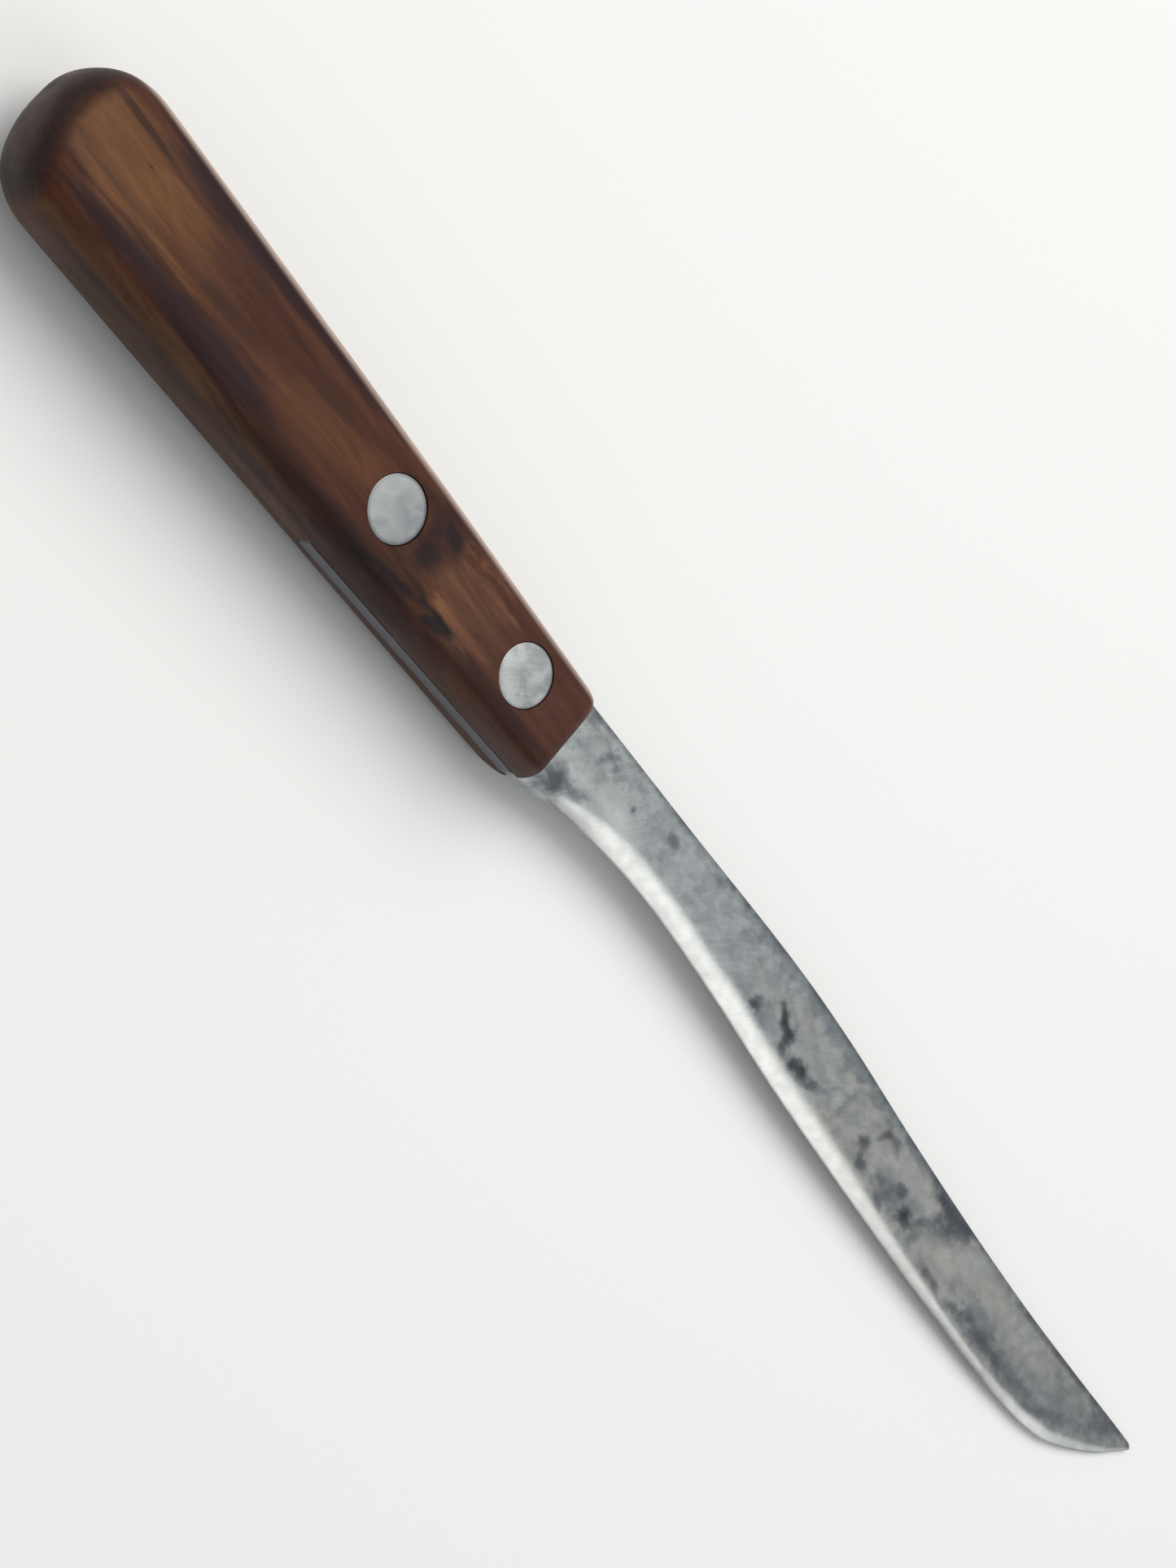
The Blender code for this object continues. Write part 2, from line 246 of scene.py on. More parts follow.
def loft(rings):
    """A closed bmesh through rings with equal numbers of points."""
    bm = bmesh.new()
    loops = [[bm.verts.new(point) for point in ring] for ring in rings]
    count = len(loops[0])
    for ring, following in zip(loops, loops[1:]):
        for i in range(count):
            j = (i + 1) % count
            bm.faces.new((ring[i], ring[j], following[j], following[i]))
    bm.faces.new(loops[0])
    bm.faces.new(loops[-1])
    return bm


def prism(outline, bottom, top):
    """A closed bmesh with the outline's shape in plan."""
    bm = bmesh.new()
    face = bm.faces.new([bm.verts.new((x, y, bottom)) for x, y in outline])
    raised = bmesh.ops.extrude_face_region(bm, geom=[face])
    moved = [part for part in raised["geom"] if isinstance(part, bmesh.types.BMVert)]
    bmesh.ops.translate(bm, verts=moved, vec=Vector((0.0, 0.0, top - bottom)))
    return bm


def rod(x, radius, bottom, top):
    """An upright cylinder on the knife's middle line."""
    bm = bmesh.new()
    place = Matrix.Translation((x, 0.0, (top + bottom) / 2))
    bmesh.ops.create_cone(
        bm,
        cap_ends=True,
        segments=ROUND_SEGMENTS,
        radius1=radius,
        radius2=radius,
        depth=top - bottom,
        matrix=place,
    )
    return bm


def cut_all(body, cutters):
    """Takes the cutters out of the body and leaves a plain mesh."""
    for cutter in cutters:
        boolean = body.modifiers.new(cutter.name, "BOOLEAN")
        boolean.operation = "DIFFERENCE"
        boolean.solver = "EXACT"
        boolean.object = cutter
    bpy.context.view_layer.update()
    evaluated = body.evaluated_get(bpy.context.evaluated_depsgraph_get())
    mesh = bpy.data.meshes.new_from_object(evaluated)
    body.modifiers.clear()
    old = body.data
    body.data = mesh
    bpy.data.meshes.remove(old)
    for cutter in cutters:
        bpy.data.objects.remove(cutter)
    shade(mesh, CREASE_ANGLE)


# ---------------------------------------------------------------- handle


def handle_spine_y(x):
    share = (x - BUTT_X) / (FRONT_X - BUTT_X)
    return mix(SPINE_SIDE_REAR_Y, SPINE_SIDE_FRONT_Y, share) + SPINE_SIDE_BULGE * math.sin(math.pi * share)


def handle_belly_y(x):
    share = (x - BUTT_X) / (FRONT_X - BUTT_X)
    return mix(BELLY_SIDE_REAR_Y, BELLY_SIDE_FRONT_Y, share) - BELLY_SIDE_BULGE * math.sin(math.pi * share)


def handle_ring(x):
    """One closed slice across the handle, with flat cheeks and fully rounded sides."""
    steps = STEPS_PER_CORNER
    butt_share = max(0.0, BUTT_X + BUTT_ROUND - x) / BUTT_ROUND
    butt_edge_share = max(0.0, BUTT_X + BUTT_EDGE_ROUND - x) / BUTT_EDGE_ROUND
    front_edge_share = max(0.0, x - FRONT_X + FRONT_EDGE_ROUND) / FRONT_EDGE_ROUND
    front_corner_share = max(0.0, x - FRONT_X + FRONT_CORNER) / FRONT_CORNER
    width = quarter(butt_share, BUTT_POWER)
    corner_cut = FRONT_CORNER * (1.0 - quarter(front_corner_share, 2))
    spine = mix(BUTT_MIDDLE_Y, handle_spine_y(x), width) - corner_cut
    belly = mix(BUTT_MIDDLE_Y, handle_belly_y(x), width) + corner_cut
    height = MIDDLE * quarter(butt_edge_share, BUTT_POWER)
    height -= FRONT_EDGE_ROUND * (1.0 - quarter(front_edge_share, 2))
    along = (x - BUTT_X) / (FRONT_X - BUTT_X)
    spine_round = mix(SPINE_ROUND_REAR, SPINE_ROUND_FRONT, along)
    belly_round = mix(BELLY_ROUND_REAR, BELLY_ROUND_FRONT, along)
    fit = min(1.0, (spine - belly) / (spine_round + belly_round + FLAT_BETWEEN_ROUNDS))
    corners = (
        (spine, -spine_round * fit, 0),
        (belly, belly_round * fit, 1),
        (belly, belly_round * fit, 2),
        (spine, -spine_round * fit, 3),
    )
    points = []
    for side, depth, turn in corners:
        for step in range(steps + 1):
            angle = math.pi / 2 * (turn + step / steps)
            out = abs(math.cos(angle)) ** (2 / SECTION_POWER)
            up = math.copysign(abs(math.sin(angle)) ** (2 / SECTION_POWER), math.sin(angle))
            # The upper quarters already hold the point in the middle of each side
            at_side_middle = step == (steps if turn % 2 else 0)
            if at_side_middle and turn in (2, 3):
                continue
            points.append(Vector((x, side + depth * (1.0 - out), MIDDLE + height * up)))
    return points


def worn(point):
    """A point of the handle's skin, sunk a little where years of use have worn it."""
    centre = Vector((point.x, WEAR_AXIS_Y, MIDDLE))
    inward = centre - point
    inward.x = 0.0
    if inward.length < WEAR_NEAREST:
        return point
    dips = 0.5 + 0.5 * waves(point.x, point.y, point.z, 14.0, 3.1)
    ripple = 0.5 + 0.5 * waves(point.x, point.y * 3, point.z * 3, 5.0, 7.7)
    rounded = smooth_step(3.0, 7.0, abs(point.y))
    depth = (WEAR_ON_FLATS + WEAR_ON_SIDES * rounded) * dips + WEAR_RIPPLE * ripple * rounded
    return point + inward.normalized() * depth


def slot_outline():
    """The slot in plan: the tang with clipped corners, running out past the front and sides."""
    end = TANG_END_X - GAP
    half = TANG_END_HALF_WIDTH + GAP / 2
    shoulder = TANG_SHOULDER_X - GAP
    side = SLOT_REACH
    run = TANG_SHOULDER_X - TANG_END_X
    belly_slope = (-handle_belly_y(TANG_SHOULDER_X) - TANG_END_HALF_WIDTH) / run
    spine_slope = (handle_spine_y(TANG_SHOULDER_X) - TANG_END_HALF_WIDTH) / run
    return [
        (end, -half),
        (max(end + (side - half) / belly_slope, shoulder), -side),
        (FRONT_X + side, -side),
        (FRONT_X + side, side),
        (max(end + (side - half) / spine_slope, shoulder), side),
        (end, half),
    ]


def handle_stations():
    """Where the handle's slices lie, closer together at the rounded butt and front."""
    butt_steps, body_steps, front_steps = 22, 70, 14
    quarter_turn = math.pi / 2
    first = math.acos(1.0 - (BUTT_FACE_X - BUTT_X) / BUTT_ROUND) / quarter_turn
    turns = [quarter_turn * mix(first, 1.0, i / butt_steps) for i in range(butt_steps)]
    stations = [BUTT_X + BUTT_ROUND * (1.0 - math.cos(turn)) for turn in turns]
    start, end = BUTT_X + BUTT_ROUND, FRONT_X - FRONT_EDGE_ROUND
    stations += [mix(start, end, i / body_steps) for i in range(body_steps + 1)]
    turns = [quarter_turn * i / front_steps for i in range(1, front_steps + 1)]
    stations += [end + FRONT_EDGE_ROUND * math.sin(turn) for turn in turns]
    return stations


def handle_cutters():
    """The tang's slot, and each rivet's bore with a seat for either head."""
    slot_half = BLADE_THICKNESS / 2 + SLOT_GAP
    cutters = [to_object("slot", prism(slot_outline(), MIDDLE - slot_half, MIDDLE + slot_half))]
    below, above = -CUTTER_OVERRUN, THICKNESS + CUTTER_OVERRUN
    seat = HEAD_THICKNESS + HEAD_RECESS + GAP
    for label, x, head_radius in RIVETS:
        seat_radius = head_radius + SEAT_GAP
        cutters.append(to_object("bore_" + label, rod(x, TUBE_RADIUS + GAP, below, above)))
        cutters.append(to_object("seat_low_" + label, rod(x, seat_radius, below, seat)))
        cutters.append(to_object("seat_high_" + label, rod(x, seat_radius, THICKNESS - seat, above)))
    return cutters


def make_handle():
    rings = [[worn(point) for point in handle_ring(x)] for x in handle_stations()]
    handle = to_object("handle_wood", loft(rings))
    cut_all(handle, handle_cutters())
    return handle


# ---------------------------------------------------------------- blade


def blade_outline(x):
    """The spine and edge heights at x, with the clipped tang end and a slightly uneven worn edge."""
    if x < TANG_SHOULDER_X:
        share = (x - TANG_END_X) / (TANG_SHOULDER_X - TANG_END_X)
        spine = mix(TANG_END_HALF_WIDTH, handle_spine_y(TANG_SHOULDER_X), share)
        return spine, mix(-TANG_END_HALF_WIDTH, handle_belly_y(TANG_SHOULDER_X), share)
    if x < FRONT_X:
        share = (x - TANG_SHOULDER_X) / (FRONT_X - TANG_SHOULDER_X)
        return handle_spine_y(x), handle_belly_y(x) + TANG_RECESS * share
    waver = EDGE_WAVER * waves(x, 0, 0, 2.2, 11.0) * smooth_step(GRIND_START_X, GRIND_FULL_X, x)
    return smooth_curve(SPINE_POINTS, x), smooth_curve(EDGE_POINTS, x) + waver


def grind_width(x):
    """The ground bevel's width at x, made a little uneven by hand grinding."""
    spine, edge = blade_outline(x)
    width = min(smooth_curve(GRIND_WIDTH_POINTS, x), 0.5 * (spine - edge))
    return width * (1.0 + 0.10 * waves(x, 0, 0, 9.0, 5.0) + 0.05 * waves(x, 0, 0, 3.0, 9.0))


def blade_ring(x):
    """Points round a slice of the blade, from the spine down one side to the edge and back.

    Each point comes with three marks from 0 to 1: how far it is on the ground bevel, on the spine's rim
    and on the cutting edge.
    """
    spine, edge = blade_outline(x)
    height = spine - edge
    along = clamp((x - FRONT_X) / (TIP_X - FRONT_X))
    ground = smooth_step(GRIND_START_X, GRIND_START_X + HEEL_RUN, x)
    half = mix(BLADE_THICKNESS, TIP_THICKNESS, along) / 2
    width = max(LEAST_BEVEL, grind_width(x) * ground)
    points, bevels, rims, edges = [], [], [], []
    for i in range(POINTS_ACROSS + 1):
        share = i / POINTS_ACROSS
        share -= CROWDING_AT_EDGES * math.sin(2 * math.pi * share)
        down = height * share
        up = height - down
        thick = half * mix(1.0, mix(1.0, SIDE_TAPER, ground), share)
        if down < SPINE_EASING:
            inset = 1.0 - math.sqrt(max(0.0, 1.0 - (1.0 - down / SPINE_EASING) ** 2))
            thick -= SPINE_EASING * inset * SPINE_EASING_DEPTH
        if ground > 0.0:
            bevel = 1.0 - (1.0 - clamp(up / (BEVEL_SPREAD * width))) ** BEVEL_POWER
            edge_half = max(LEAST_EDGE, thick - BEVEL_SLOPE * width)
            thick = mix(thick, mix(edge_half, thick, bevel), min(1.0, BEVEL_ONSET * ground))
        points.append((spine - down, thick))
        bevels.append((1.0 - smooth_step(*BEVEL_FADE, up / width)) * min(1.0, MARK_ONSET * ground))
        rims.append(1.0 - smooth_step(*RIM_FADE, down))
        edges.append((1.0 - smooth_step(*EDGE_FADE, up)) * ground)
    ring = [Vector((x, y, MIDDLE + thick)) for y, thick in points]
    ring += [Vector((x, y, MIDDLE - thick)) for y, thick in reversed(points)]
    return ring, bevels + bevels[::-1], rims + rims[::-1], edges + edges[::-1]


def blade_surface(point):
    """Slight unevenness of the forged and hand-ground sides, always inwards."""
    side = 1.0 if point.z > MIDDLE else -1.0
    dips = 0.5 + 0.5 * waves(point.x, point.y, 4.0 * side, 7.0, 21.0)
    point.z -= side * min(SURFACE_DIP * dips, 0.3 * abs(point.z - MIDDLE))
    return point


def blade_stations():
    """Where the blade's slices lie, from the tang's end to the point, closer together at the point."""
    tang_steps, slot_steps, body_steps, tip_steps = 6, 30, 230, 40
    stations = [mix(TANG_END_X, TANG_SHOULDER_X, i / tang_steps) for i in range(tang_steps)]
    stations += [mix(TANG_SHOULDER_X, FRONT_X, i / slot_steps) for i in range(slot_steps)]
    stations += [mix(FRONT_X, TIP_X - TIP_RUN, i / body_steps) for i in range(body_steps)]
    stations += [TIP_X - TIP_RUN * (1.0 - i / tip_steps) ** TIP_CROWDING for i in range(tip_steps + 1)]
    return stations


def make_blade():
    rings = []
    marks = {"ground": [], "rim": [], "edge": []}
    for x in blade_stations():
        ring, bevels, rims, edges = blade_ring(x)
        rings.append([blade_surface(point) for point in ring])
        marks["ground"] += bevels
        marks["rim"] += rims
        marks["edge"] += edges
    blade = to_object("blade_steel", loft(rings))
    for name, values in marks.items():
        attribute = blade.data.attributes.new(name, "FLOAT", "POINT")
        attribute.data.foreach_set("value", values)
    holes = [(label, rod(x, TUBE_RADIUS + GAP, 0.0, THICKNESS)) for label, x, _ in RIVETS]
    cut_all(blade, [to_object("tang_hole_" + label, hole) for label, hole in holes])
    return blade


# ---------------------------------------------------------------- rivets


def turned(name, profile, x):
    """A profile of radius and height, turned about the rivet's own axis."""
    bm = bmesh.new()
    loops = []
    for radius, z in profile:
        if radius == 0.0:
            loops.append([bm.verts.new((x, 0.0, z))])
            continue
        ring = []
        for i in range(ROUND_SEGMENTS):
            angle = 2 * math.pi * i / ROUND_SEGMENTS
            ring.append(bm.verts.new((x + radius * math.cos(angle), radius * math.sin(angle), z)))
        loops.append(ring)
    for upper, lower in zip(loops, loops[1:]):
        for i in range(ROUND_SEGMENTS):
            j = (i + 1) % ROUND_SEGMENTS
            # A loop of one point closes the profile on the axis, where the face is a triangle
            near = (upper[i % len(upper)], lower[i % len(lower)])
            far = (lower[j % len(lower)], upper[j % len(upper)])
            bm.faces.new(tuple(dict.fromkeys(near + far)))
    return to_object(name, bm, RIVET_CREASE_ANGLE)


def head_face(head_radius, outer_z, towards):
    """A head's face from its middle to its side; towards is the way into the wood."""
    dome_steps, rim_steps = 9, 8
    rim = head_radius - HEAD_RIM_ROUND
    points = []
    for i in range(1, dome_steps):
        share = i / dome_steps
        points.append((rim * share, outer_z + towards * HEAD_DOME * share**2))
    for i in range(rim_steps + 1):
        angle = math.pi / 2 * i / rim_steps
        sink = HEAD_DOME + HEAD_RIM_ROUND * (1.0 - math.cos(angle))
        points.append((rim + HEAD_RIM_ROUND * math.sin(angle), outer_z + towards * sink))
    return points


def make_rivet(label, x, head_radius):
    """The two halves: an upper head on a pin, and a lower head on the tube that the pin goes into."""
    top = THICKNESS - HEAD_RECESS
    under_head = top - HEAD_THICKNESS
    pin_end = BORE_FLOOR + PIN_END_GAP
    male = [(0.0, top)] + head_face(head_radius, top, -1)
    male += [(head_radius, under_head), (PIN_RADIUS, under_head), (PIN_RADIUS, pin_end + PIN_CHAMFER)]
    male += [(PIN_RADIUS - PIN_CHAMFER, pin_end), (0.0, pin_end)]
    bottom = HEAD_RECESS
    over_head = bottom + HEAD_THICKNESS
    tube_end = under_head - 2 * GAP
    female = [(0.0, BORE_FLOOR), (BORE_RADIUS, BORE_FLOOR), (BORE_RADIUS, tube_end), (TUBE_RADIUS, tube_end)]
    female += [(TUBE_RADIUS, over_head), (head_radius, over_head)]
    female += head_face(head_radius, bottom, 1)[::-1] + [(0.0, bottom)]
    pin_half = turned("rivet_" + label + "_pin_half", male, x)
    tube_half = turned("rivet_" + label + "_tube_half", female, x)
    return pin_half, tube_half


# ---------------------------------------------------------------- materials


class Graph:
    """Short names for building one material's nodes."""

    def __init__(self, name):
        self.material = bpy.data.materials.new(name)
        self.material.use_nodes = True
        self.tree = self.material.node_tree
        self.shader = self.tree.nodes["Principled BSDF"]
        coordinates = self.add("ShaderNodeTexCoord")
        shift = self.add("ShaderNodeVectorMath", operation="SUBTRACT")
        self.link(coordinates.outputs["Object"], shift.inputs[0])
        shift.inputs[1].default_value = ORIGIN * MM
        scale = self.add("ShaderNodeVectorMath", operation="SCALE")
        self.link(shift.outputs[0], scale.inputs[0])
        scale.inputs["Scale"].default_value = 1.0 / MM
        self.place = scale.outputs[0]
        parts = self.add("ShaderNodeSeparateXYZ")
        self.link(self.place, parts.inputs[0])
        self.x, self.y, self.z = parts.outputs

    def add(self, kind, **settings):
        node = self.tree.nodes.new(kind)
        for key, value in settings.items():
            setattr(node, key, value)
        return node

    def link(self, source, target):
        self.tree.links.new(source, target)

    def feed(self, value, target):
        """Links a socket to the target, or sets the target to a number or colour."""
        if isinstance(value, bpy.types.NodeSocket):
            self.link(value, target)
            return
        if target.type == "RGBA":
            value = (*value, 1.0)
        target.default_value = value

    def mark(self, name):
        """A value from 0 to 1 stored on the mesh's points."""
        return self.add("ShaderNodeAttribute", attribute_name=name).outputs["Fac"]

    def math(self, operation, a, b=0.0):
        node = self.add("ShaderNodeMath", operation=operation)
        self.feed(a, node.inputs[0])
        self.feed(b, node.inputs[1])
        return node.outputs[0]

    def stretch(self, scale, turn=0.0, shift=(0, 0, 0)):
        """Millimetre coordinates turned about Z by so many degrees, then scaled."""
        turned_place = self.place
        if turn:
            rotate = self.add("ShaderNodeVectorRotate", rotation_type="Z_AXIS")
            self.link(turned_place, rotate.inputs["Vector"])
            rotate.inputs["Angle"].default_value = math.radians(turn)
            turned_place = rotate.outputs[0]
        node = self.add("ShaderNodeVectorMath", operation="MULTIPLY_ADD")
        self.link(turned_place, node.inputs[0])
        node.inputs[1].default_value = scale
        node.inputs[2].default_value = shift
        return node.outputs[0]

    def swing(self, value, amount):
        """A noise about one half, made to swing about zero."""
        return self.math("MULTIPLY", self.math("SUBTRACT", value, 0.5), amount)

    def length(self, a, b):
        """How long the flat vector (a, b) is."""
        squares = self.math("ADD", self.math("MULTIPLY", a, a), self.math("MULTIPLY", b, b))
        return self.math("SQRT", squares)

    def noise(self, vector, detail=4.0, rough=0.55, warp=0.0):
        node = self.add("ShaderNodeTexNoise")
        self.link(vector, node.inputs["Vector"])
        node.inputs["Scale"].default_value = 1.0
        node.inputs["Detail"].default_value = detail
        node.inputs["Roughness"].default_value = rough
        node.inputs["Distortion"].default_value = warp
        return node.outputs[0]

    def ramp(self, value, low, high, to_low=0.0, to_high=1.0):
        """Goes smoothly from to_low to to_high as the value goes from low to high."""
        node = self.add("ShaderNodeMapRange", interpolation_type="SMOOTHSTEP")
        self.feed(value, node.inputs["Value"])
        node.inputs["From Min"].default_value = low
        node.inputs["From Max"].default_value = high
        node.inputs["To Min"].default_value = to_low
        node.inputs["To Max"].default_value = to_high
        return node.outputs[0]

    def blend(self, share, a, b):
        """The colour a, with this share of b laid over it."""
        node = self.add("ShaderNodeMix", data_type="RGBA")
        self.feed(share, node.inputs["Factor"])
        self.feed(a, node.inputs["A"])
        self.feed(b, node.inputs["B"])
        return node.outputs["Result"]

    def shaded(self, color, tone):
        """The colour multiplied by the tone."""
        node = self.add("ShaderNodeVectorMath", operation="SCALE")
        self.link(color, node.inputs[0])
        self.link(tone, node.inputs["Scale"])
        return node.outputs[0]

    def patch(self, centre, radii, turn, ragged, softness):
        """1 inside an ellipsoid and 0 outside, with an edge that ragged pushes about."""
        node = self.add("ShaderNodeVectorMath", operation="SUBTRACT")
        self.link(self.place, node.inputs[0])
        node.inputs[1].default_value = centre
        place = node.outputs[0]
        if turn:
            rotate = self.add("ShaderNodeVectorRotate", rotation_type="Z_AXIS")
            self.link(place, rotate.inputs["Vector"])
            rotate.inputs["Angle"].default_value = -math.radians(turn)
            place = rotate.outputs[0]
        scale = self.add("ShaderNodeVectorMath", operation="DIVIDE")
        self.link(place, scale.inputs[0])
        scale.inputs[1].default_value = radii
        length = self.add("ShaderNodeVectorMath", operation="LENGTH")
        self.link(scale.outputs[0], length.inputs[0])
        distance = self.math("ADD", length.outputs["Value"], ragged)
        return self.ramp(distance, 1.0 + softness, 1.0 - softness)

    def bump(self, height, strength, depth, under=None):
        """A relief so many millimetres deep, laid over the relief under it."""
        node = self.add("ShaderNodeBump")
        node.inputs["Strength"].default_value = strength
        node.inputs["Distance"].default_value = depth * MM
        self.link(height, node.inputs["Height"])
        if under is not None:
            self.link(under, node.inputs["Normal"])
        return node.outputs[0]


# Wood colours
BROWN = (0.053, 0.0155, 0.0072)
RUSSET = (0.072, 0.0230, 0.0105)
GOLD = (0.140, 0.0560, 0.0195)
UMBER = (0.022, 0.0078, 0.0062)
PLUM = (0.0215, 0.0072, 0.0082)
INK = (0.0120, 0.0075, 0.0080)
OLIVE = (0.086, 0.0405, 0.0185)
TAN = (0.158, 0.0700, 0.0330)
ROSE = (0.070, 0.0275, 0.0180)
# Pale colour of the painted highlight on the spine side's corners
HIGHLIGHT_PALE = (0.440, 0.3150, 0.2550)
BUTT_SHADE = (0.0300, 0.0130, 0.0110)
BUTT_DARK = (0.0170, 0.0095, 0.0095)
BUTT_GREY = (0.0620, 0.0360, 0.0290)


def wood_grain(g):
    """Noises drawn out along gently bent grain: the broad figure, the streaks, the fibres and the pores."""
    straight = g.place
    bend = g.noise(g.stretch((0.02, 0.10, 0.10)), detail=2.0)
    moved = g.add("ShaderNodeCombineXYZ")
    g.link(g.x, moved.inputs["X"])
    g.link(g.math("ADD", g.y, g.swing(bend, 6.0)), moved.inputs["Y"])
    g.link(g.z, moved.inputs["Z"])
    g.place = moved.outputs[0]
    broad = g.noise(g.stretch((0.022, 0.34, 0.26)), warp=0.5)
    streaks = g.noise(g.stretch((0.09, 0.75, 0.65), shift=(5, 2, 0)), warp=0.6)
    fibres = g.noise(g.stretch((0.14, 4.5, 4.0), shift=(0, 9, 3)), detail=3.0, rough=0.6)
    pores = g.noise(g.stretch((0.45, 8.0, 8.0), shift=(4, 1, 7)), detail=1.0)
    g.place = straight
    return broad, streaks, fibres, pores


def wood_regions(ragged, smudged):
    """The handle's patches of colour, each laid over the ones before it; the last three are underneath."""
    top = THICKNESS
    return [
        # colour, centre, radii, turn, edge noise, softness, amount
        # The first two patches lift the belly side: the olive is partly the wood's own colour and partly
        # painted fill light, and the tan band low on that side is painted fill light
        (OLIVE, (-22.0, -9.6, 6.4), (58.0, 3.4, 9.0), 2.5, ragged, 0.40, 0.85),
        (TAN, (-28.0, -10.6, 5.2), (34.0, 2.4, 3.6), 2.5, ragged, 0.60, 0.75),
        (RUSSET, (-50.0, 5.3, top), (9.5, 1.6, 5.0), 0.0, ragged, 0.40, 0.90),
        (GOLD, (-50.5, 0.0, top), (11.5, 4.4, 9.0), 0.0, ragged, 0.40, 0.92),
        (GOLD, (-38.0, -0.8, top), (9.0, 2.6, 6.0), 1.0, ragged, 0.60, 0.30),
        (BROWN, (-26.0, 1.0, top), (9.0, 3.0, 6.0), 0.0, ragged, 0.60, 0.60),
        (GOLD, (-13.0, -1.0, top), (10.0, 2.2, 5.0), 2.0, ragged, 0.60, 0.42),
        (TAN, (14.8, -0.2, top), (6.6, 4.7, 7.0), 0.0, smudged, 0.40, 0.90),
        (ROSE, (24.0, 0.0, top), (12.0, 6.5, 8.0), 0.0, ragged, 0.50, 0.75),
        (ROSE, (35.0, 1.0, top), (6.0, 6.5, 9.0), 0.0, ragged, 0.50, 0.70),
        (PLUM, (-38.0, 6.6, top), (11.5, 2.2, 8.0), -3.0, ragged, 0.45, 0.95),
        (PLUM, (-16.0, 6.8, top), (20.0, 1.5, 6.0), -1.5, ragged, 0.50, 0.85),
        (UMBER, (17.0, 6.4, top), (18.0, 1.1, 6.0), -1.5, ragged, 0.50, 0.70),
        (UMBER, (-52.5, 4.2, top), (6.5, 0.40, 3.0), -2.0, ragged, 0.60, 0.75),
        (UMBER, (-47.0, -2.6, top), (8.0, 0.30, 3.0), 1.0, ragged, 0.60, 0.30),
        (PLUM, (-46.0, -6.4, top), (8.0, 1.0, 4.0), 0.0, ragged, 0.60, 0.90),
        (PLUM, (-30.5, -5.9, top), (12.0, 1.5, 4.0), 1.5, ragged, 0.45, 0.98),
        (UMBER, (-31.0, -1.4, top), (6.0, 0.8, 3.0), 2.0, ragged, 0.60, 0.45),
        (UMBER, (-27.0, 3.0, top), (5.0, 0.6, 3.0), -2.0, ragged, 0.60, 0.40),
        (UMBER, (-14.5, 2.6, top), (5.0, 1.2, 4.0), 0.0, ragged, 0.60, 0.45),
        (UMBER, (-33.0, -9.7, 7.0), (23.0, 0.50, 9.0), 2.0, ragged, 0.60, 0.75),
        (UMBER, (-8.0, -7.0, top), (13.0, 1.8, 6.0), 4.0, ragged, 0.50, 0.88),
        (PLUM, (6.0, -7.9, top), (14.0, 1.2, 8.0), 5.0, ragged, 0.60, 0.85),
        (UMBER, (27.0, -4.9, top), (12.0, 1.1, 4.0), 1.0, ragged, 0.60, 0.60),
        (INK, (5.6, -5.5, top), (8.0, 0.50, 3.0), 9.5, smudged, 0.60, 0.95),
        (INK, (-1.0, -7.6, top), (9.0, 0.45, 3.0), 9.0, smudged, 0.70, 0.70),
        (PLUM, (6.6, 1.0, top), (2.7, 4.5, 5.0), 8.0, smudged, 0.80, 0.75),
        (INK, (8.2, 3.3, top), (1.9, 0.9, 5.0), -28.0, smudged, 0.70, 0.92),
        (INK, (6.6, -0.6, top), (1.3, 1.4, 5.0), 12.0, smudged, 0.80, 0.80),
        (INK, (5.2, 2.4, top), (1.0, 0.9, 5.0), 0.0, smudged, 0.60, 0.55),
        (INK, (13.3, -5.1, top), (2.1, 0.75, 3.0), 14.0, smudged, 0.50, 0.98),
        (INK, (9.6, -4.0, top), (1.5, 0.45, 3.0), -18.0, smudged, 0.60, 0.60),
        (INK, (-48.6, 1.7, top), (0.55, 0.22, 1.0), 0.0, smudged, 0.60, 0.55),
        (UMBER, (-22.0, 3.0, 0.0), (30.0, 1.6, 4.0), -2.0, ragged, 0.60, 0.75),
        (GOLD, (6.0, -1.0, 0.0), (20.0, 3.0, 5.0), 1.0, ragged, 0.60, 0.50),
        (PLUM, (-44.0, -3.0, 0.0), (16.0, 1.5, 4.0), 3.0, ragged, 0.60, 0.80),
    ]


def wood_shade_and_highlight(g, color):
    """Painted shade darkening the front of the belly side below the top, and a painted pale highlight along
    the spine side's corners.
    """
    # Painted shade: the belly side below the top grows darker towards the front
    belly_front_shade = g.math("MULTIPLY", g.ramp(g.z, 11.6, 8.8), g.ramp(g.x, -14.0, 2.0, 0.0, 0.45))
    color = g.blend(g.math("MULTIPLY", belly_front_shade, g.ramp(g.y, -3.0, -5.0)), color, UMBER)
    # Painted highlight: a pale band along the spine side's corners, above and below the middle
    spine_at_zero = SPINE_SIDE_REAR_Y + SPINE_SIDE_BULGE - SPINE_SLOPE * BUTT_X
    spine_line = g.math("ADD", g.math("MULTIPLY", g.x, SPINE_SLOPE), spine_at_zero)
    inward = g.math("SUBTRACT", spine_line, g.y)
    off_centre = g.math("ABSOLUTE", g.math("SUBTRACT", g.z, MIDDLE))
    corner_highlight = g.math("MULTIPLY", g.ramp(off_centre, 2.7, 4.0), g.ramp(inward, 2.5, 1.3, 0.0, 0.90))
    return g.blend(corner_highlight, color, HIGHLIGHT_PALE)


